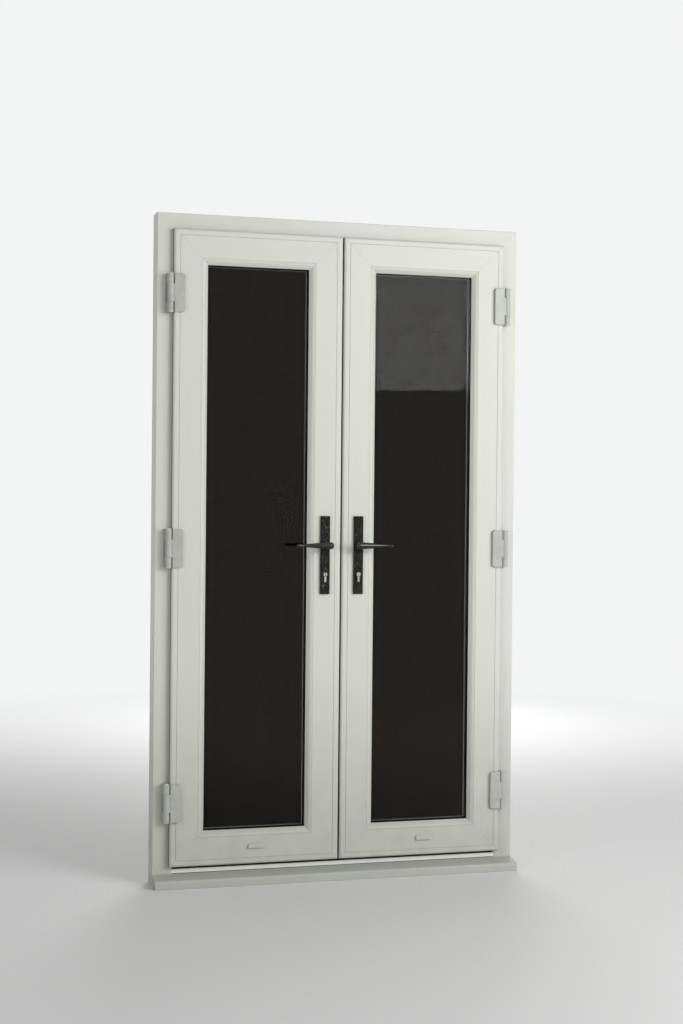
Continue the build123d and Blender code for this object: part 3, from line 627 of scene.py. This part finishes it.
keep_screws = []
for name, facing in (("head_keeps", -1), ("threshold_keeps", 1)):
    low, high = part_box(name)
    face = high[2] if facing > 0 else low[2]
    for middle in (low[0] + keep_half, high[0] - keep_half):
        for end in (-1, 1):
            spot = (middle + end * keep_screw_offset, (low[1] + high[1]) / 2, face)
            keep_screws.append((spot, (0, 0, facing)))
screw_set("keep_screws", keep_screws, "frame", zinc_plate)


# Cylinders: satin nickel profile cylinders with a turning plug, held by one long screw.
# The faces are turned. Painted shade, near black, lies in the ring round each plug and along the
# face's rim.
nickel_colour = (0.40, 0.405, 0.37, 1)
nickel_tarnish = (0.13, 0.13, 0.115, 1)
turned_lines = (500, 60, 500)
cylinder_shade_black = (0.012, 0.012, 0.011, 1)
ring_shade_core = 0.0004
ring_shade_edge = 0.0009
ring_shade_share = 0.95
rim_shade_core = 0.00114
rim_shade_edge = 0.0019
rim_shade_share = 0.9
web_half = 0.0044
plug_low, plug_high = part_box("key_plug_right")
axis_x = (plug_low[0] + plug_high[0]) / 2
plug_radius = (plug_high[0] - plug_low[0]) / 2
axis_z = plug_high[2] - plug_radius
cylinder_low, cylinder_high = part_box("lock_cylinder_right")
body_radius = (cylinder_high[0] - cylinder_low[0]) / 2

nickel, tree, shader = start_material("satin_nickel", {"Metallic": 1.0})
out = use_group(tree, shader, drawn_metal, {
    "Colour": nickel_colour, "Tarnish": nickel_tarnish, "Line Scale": turned_lines,
    "Base Roughness": 0.26,
})
axes = split_axes(tree, on_object(tree))
across = maths(tree, "SUBTRACT", maths(tree, "ABSOLUTE", axes["X"]), axis_x)
above = maths(tree, "SUBTRACT", axes["Z"], axis_z)
squares = [maths(tree, "MULTIPLY", off, off) for off in (across, above)]
reach = maths(tree, "SQRT", maths(tree, "ADD", *squares))
off_ring = maths(tree, "ABSOLUTE", maths(tree, "SUBTRACT", reach, plug_radius))
in_barrel = maths(tree, "SUBTRACT", body_radius, reach)
in_web = maths(tree, "SUBTRACT", web_half, maths(tree, "ABSOLUTE", across))
in_web = maths(tree, "MINIMUM", in_web, maths(tree, "MULTIPLY", above, -1.0))
from_rim = maths(tree, "ABSOLUTE", maths(tree, "MAXIMUM", in_barrel, in_web))
# Painted shade: near black in the ring round the plug and along the face's rim.
shade_mask = maths(
    tree, "MAXIMUM",
    spread(tree, off_ring, ring_shade_core, ring_shade_edge, ring_shade_share, 0.0),
    spread(tree, from_rim, rim_shade_core, rim_shade_edge, rim_shade_share, 0.0),
)
paint(tree, shader, shade_mask, out["Colour"], cylinder_shade_black)
for side in sides:
    dress(nickel, "lock_cylinder_" + side, "key_plug_" + side)


# Handles: forged levers on long hammered backplates, black with an aged pewter bloom.
# Hands keep the levers smoother than the plates, whose metal flecks catch the light.
iron_dark = (0.0045, 0.0045, 0.0035, 1)
iron_bloom = (0.033, 0.034, 0.024, 1)
iron_fleck = (0.24, 0.24, 0.215, 1)
plate_values = {
    "Speckle Scale": 270.0, "Bloom Share": 0.9, "Fleck Share": 0.6, "Base Roughness": 0.33,
    "Relief": 0.5,
}
lever_values = {
    "Speckle Scale": 170.0, "Bloom Share": 0.12, "Fleck Share": 0.1, "Base Roughness": 0.15,
    "Relief": 0.08,
}
plate_specular = 0.08
lever_specular = 0.5
voxel = 0.0010
dent_depth = 0.00028
dent_size = 0.0075
seat_band = 0.0008

aged_iron, given, leave = start_group(
    "aged_iron",
    {"Dark": ("Color", iron_dark), "Bloom": ("Color", iron_bloom), "Fleck": ("Color", iron_fleck)}
    | {label: ("Float", value) for label, value in plate_values.items()},
    finish_outputs | {"Metal": "Float"},
)
group = aged_iron
place = on_object(group)
speckle = noise_at(group, place, given["Speckle Scale"], 5.0, 0.65)
patch = noise_at(group, place, 60.0, 3.0)
worn = maths(group, "MULTIPLY", spread(group, speckle, 0.46, 0.64), given["Bloom Share"])
bright = spread(group, speckle, 0.57, 0.64)
fleck = maths(group, "MULTIPLY", bright, spread(group, patch, 0.42, 0.60))
fleck = maths(group, "MULTIPLY", fleck, given["Fleck Share"])
colour = blend_colours(group, worn, given["Dark"], given["Bloom"])
group.links.new(blend_colours(group, fleck, colour, given["Fleck"]), leave["Colour"])
group.links.new(fleck, leave["Metal"])
uneven = spread(group, speckle, 0.3, 0.7, -0.1, 0.16)
group.links.new(maths(group, "ADD", given["Base Roughness"], uneven), leave["Roughness"])
emboss(group, leave["Normal"], speckle, given["Relief"], 0.0005)


def iron_finish(name, specular, values):
    """Black patinated iron with a pewter bloom and bare metal flecks."""
    material, tree, shader = start_material(name, {"Specular IOR Level": specular})
    out = use_group(tree, shader, aged_iron, values)
    tree.links.new(out["Metal"], shader.inputs["Metallic"])
    return material


def hammered_plate(node, seat, body):
    """A backplate remeshed finely, its face and edges dented by the hammer, its seat flat."""
    piece = bpy.data.objects.new("forged_" + node, nodes[node].data.copy())
    bpy.context.collection.objects.link(piece)
    fine = piece.modifiers.new("fine", "REMESH")
    fine.mode = "VOXEL"
    fine.voxel_size = voxel
    fine.use_smooth_shade = True
    bpy.context.view_layer.update()
    shaped = bpy.data.meshes.new_from_object(
        piece.evaluated_get(bpy.context.evaluated_depsgraph_get())
    )
    piece.modifiers.clear()
    piece.data = shaped
    outward = [(vertex.co.copy(), vertex.normal.copy()) for vertex in shaped.vertices]
    for vertex, (place, normal) in zip(shaped.vertices, outward):
        if abs(place[1] - seat) < seat_band:
            continue
        nearest = noise.voronoi(place / dent_size)[0][0]
        dent = dent_depth * max(0.0, 1.0 - nearest * nearest)
        vertex.co = place - normal * (dent + voxel * 0.1)
    shaped.materials.clear()
    shaped.materials.append(plate_iron)
    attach(piece, body)
    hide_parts(node)


plate_iron = iron_finish("plate_iron", plate_specular, plate_values)
lever_iron = iron_finish("lever_iron", lever_specular, lever_values)
for side in sides:
    body = "leaf_" + side
    hammered_plate("backplate_outside_" + side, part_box("backplate_outside_" + side)[1][1], body)
    hammered_plate("backplate_inside_" + side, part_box("backplate_inside_" + side)[0][1], body)
    dress(lever_iron, "lever_outside_" + side, "lever_inside_" + side)


# Plate screws: two through each inside backplate, into the outside one.
# Blackened, so that they don't show against the plate.
plate_screw_inset = 0.014
for side in sides:
    low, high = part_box("backplate_inside_" + side)
    middle = (low[0] + high[0]) / 2
    places = [
        ((middle, high[1] - dent_depth, z), (0, 1, 0))
        for z in (low[2] + plate_screw_inset, high[2] - plate_screw_inset)
    ]
    screw_set("plate_screws_" + side, places, "leaf_" + side, lever_iron)
